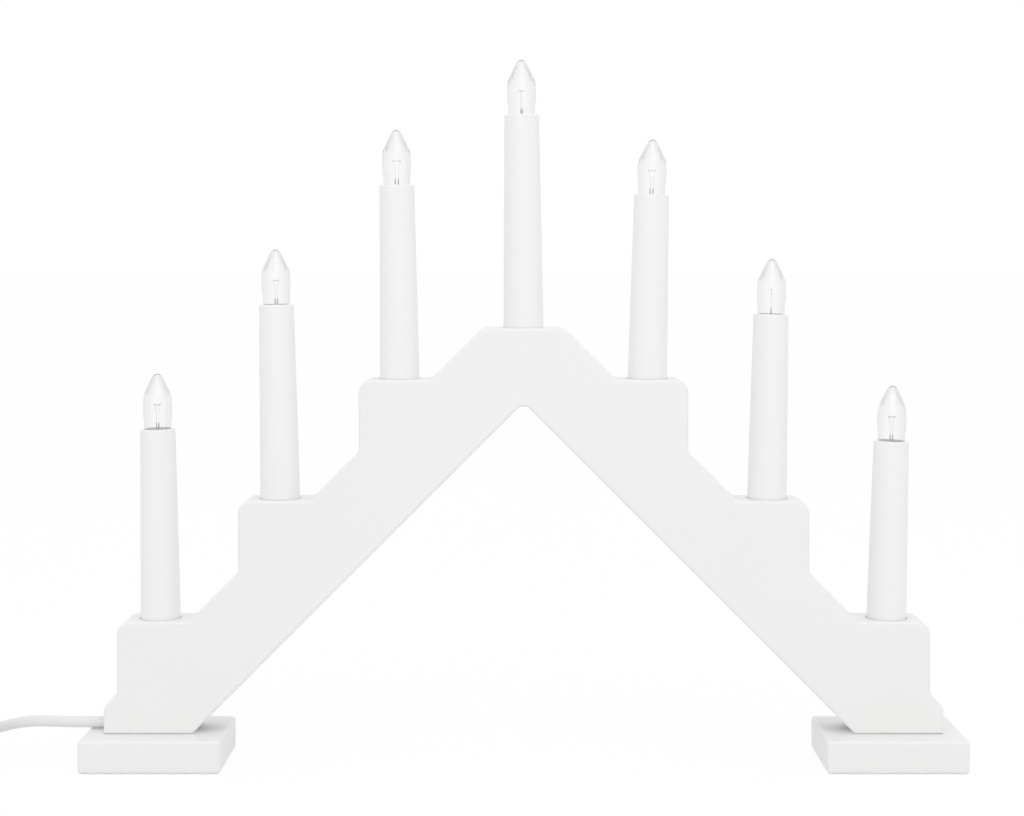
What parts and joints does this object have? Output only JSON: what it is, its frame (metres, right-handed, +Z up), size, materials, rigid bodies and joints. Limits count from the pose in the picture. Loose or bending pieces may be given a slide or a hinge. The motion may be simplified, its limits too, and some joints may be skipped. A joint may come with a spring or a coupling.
{
  "type": "candle arch",
  "caption": "Stepped white wooden arch with electric candles: tapered sleeves hold clear candle bulbs that screw into small lamp holders, fed by a cord with a plug.",
  "frame": {"origin": "on the table, under the middle of the arch", "axes": "+X along the arch to the right as seen from the front, +Y to the back, +Z up"},
  "size_m": [0.5408, 0.0769, 0.3227],
  "materials": {
    "white_wood": "satin white paint",
    "screw_steel": "zinc plated",
    "sleeve_plastic": "satin",
    "holder_plastic": "matt",
    "shell_brass": "satin",
    "bulb_glass": "clear",
    "cap_brass": "satin",
    "base_insulator": "gloss",
    "filament_wire": "bare wire",
    "wire_white": "matt",
    "clamp_plastic": "matt",
    "cord_white": "satin",
    "plug_white": "satin",
    "pin_brass": "plated"
  },
  "bodies": {
    "arch": {"arch_board": "white_wood", "foot_left": "white_wood", "foot_right": "white_wood", "foot_screws": "screw_steel", "candle_sleeve_left_outer": "sleeve_plastic", "candle_sleeve_left_middle": "sleeve_plastic", "candle_sleeve_left_inner": "sleeve_plastic", "candle_sleeve_centre": "sleeve_plastic", "candle_sleeve_right_inner": "sleeve_plastic", "candle_sleeve_right_middle": "sleeve_plastic", "candle_sleeve_right_outer": "sleeve_plastic", "lamp_holder_left_outer": "holder_plastic", "lamp_holder_left_middle": "holder_plastic", "lamp_holder_left_inner": "holder_plastic", "lamp_holder_centre": "holder_plastic", "lamp_holder_right_inner": "holder_plastic", "lamp_holder_right_middle": "holder_plastic", "lamp_holder_right_outer": "holder_plastic", "holder_shells": "shell_brass", "holder_contacts": "shell_brass", "lamp_wires": "wire_white", "wire_staples": "screw_steel", "cord_clamp": "clamp_plastic", "cord_free": "cord_white", "cord_coil": "cord_white", "plug_body": "plug_white", "plug_pins": "pin_brass"},
    "base_left_outer": {"bulb_base_left_outer": "base_insulator"},
    "bulb_left_outer": {"bulb_glass_left_outer": "bulb_glass", "bulb_cap_left_outer": "cap_brass", "bulb_filament_left_outer": "filament_wire"},
    "base_left_middle": {"bulb_base_left_middle": "base_insulator"},
    "bulb_left_middle": {"bulb_glass_left_middle": "bulb_glass", "bulb_cap_left_middle": "cap_brass", "bulb_filament_left_middle": "filament_wire"},
    "base_left_inner": {"bulb_base_left_inner": "base_insulator"},
    "bulb_left_inner": {"bulb_glass_left_inner": "bulb_glass", "bulb_cap_left_inner": "cap_brass", "bulb_filament_left_inner": "filament_wire"},
    "base_centre": {"bulb_base_centre": "base_insulator"},
    "bulb_centre": {"bulb_glass_centre": "bulb_glass", "bulb_cap_centre": "cap_brass", "bulb_filament_centre": "filament_wire"},
    "base_right_inner": {"bulb_base_right_inner": "base_insulator"},
    "bulb_right_inner": {"bulb_glass_right_inner": "bulb_glass", "bulb_cap_right_inner": "cap_brass", "bulb_filament_right_inner": "filament_wire"},
    "base_right_middle": {"bulb_base_right_middle": "base_insulator"},
    "bulb_right_middle": {"bulb_glass_right_middle": "bulb_glass", "bulb_cap_right_middle": "cap_brass", "bulb_filament_right_middle": "filament_wire"},
    "base_right_outer": {"bulb_base_right_outer": "base_insulator"},
    "bulb_right_outer": {"bulb_glass_right_outer": "bulb_glass", "bulb_cap_right_outer": "cap_brass", "bulb_filament_right_outer": "filament_wire"}
  },
  "joints": [
    {"name": "lift_left_outer", "type": "slide", "parent": "arch", "child": "base_left_outer", "axis": [-0.0157, 0, 0.9999], "range_m": [0, 0.00907]},
    {"name": "turn_left_outer", "type": "hinge", "parent": "base_left_outer", "child": "bulb_left_outer", "pos_m": [-0.16836, 0, 0.15289], "axis": [-0.0157, 0, 0.9999], "range_deg": [0, 1800]},
    {"name": "lift_left_middle", "type": "slide", "parent": "arch", "child": "base_left_middle", "axis": [-0.0201, 0, 0.9998], "range_m": [0, 0.00907]},
    {"name": "turn_left_middle", "type": "hinge", "parent": "base_left_middle", "child": "bulb_left_middle", "pos_m": [-0.11379, 0, 0.21008], "axis": [-0.0201, 0, 0.9998], "range_deg": [0, 1800]},
    {"name": "lift_left_inner", "type": "slide", "parent": "arch", "child": "base_left_inner", "axis": [-0.0148, 0, 0.9999], "range_m": [0, 0.00907]},
    {"name": "turn_left_inner", "type": "hinge", "parent": "base_left_inner", "child": "bulb_left_inner", "pos_m": [-0.05832, 0, 0.26509], "axis": [-0.0148, 0, 0.9999], "range_deg": [0, 1800]},
    {"name": "lift_centre", "type": "slide", "parent": "arch", "child": "base_centre", "axis": [-0.0087, 0, 1], "range_m": [0, 0.00907]},
    {"name": "turn_centre", "type": "hinge", "parent": "base_centre", "child": "bulb_centre", "pos_m": [-0.00085, 0, 0.2974], "axis": [-0.0087, 0, 1], "range_deg": [0, 1800]},
    {"name": "lift_right_inner", "type": "slide", "parent": "arch", "child": "base_right_inner", "axis": [0.0227, 0, 0.9997], "range_m": [0, 0.00907]},
    {"name": "turn_right_inner", "type": "hinge", "parent": "base_right_inner", "child": "bulb_right_inner", "pos_m": [0.05892, 0, 0.26068], "axis": [0.0227, 0, 0.9997], "range_deg": [0, 1800]},
    {"name": "lift_right_middle", "type": "slide", "parent": "arch", "child": "base_right_middle", "axis": [0.0227, 0, 0.9997], "range_m": [0, 0.00907]},
    {"name": "turn_right_middle", "type": "hinge", "parent": "base_right_middle", "child": "bulb_right_middle", "pos_m": [0.11392, 0, 0.20568], "axis": [0.0227, 0, 0.9997], "range_deg": [0, 1800]},
    {"name": "lift_right_outer", "type": "slide", "parent": "arch", "child": "base_right_outer", "axis": [0.0279, 0, 0.9996], "range_m": [0, 0.00907]},
    {"name": "turn_right_outer", "type": "hinge", "parent": "base_right_outer", "child": "bulb_right_outer", "pos_m": [0.16927, 0, 0.14737], "axis": [0.0279, 0, 0.9996], "range_deg": [0, 1800]}
  ],
  "couplings": [
    {"joint": "turn_left_outer", "follows": "lift_left_outer", "rad_per_m": 3463.7},
    {"joint": "turn_left_middle", "follows": "lift_left_middle", "rad_per_m": 3463.7},
    {"joint": "turn_left_inner", "follows": "lift_left_inner", "rad_per_m": 3463.7},
    {"joint": "turn_centre", "follows": "lift_centre", "rad_per_m": 3463.7},
    {"joint": "turn_right_inner", "follows": "lift_right_inner", "rad_per_m": 3463.7},
    {"joint": "turn_right_middle", "follows": "lift_right_middle", "rad_per_m": 3463.7},
    {"joint": "turn_right_outer", "follows": "lift_right_outer", "rad_per_m": 3463.7}
  ]
}
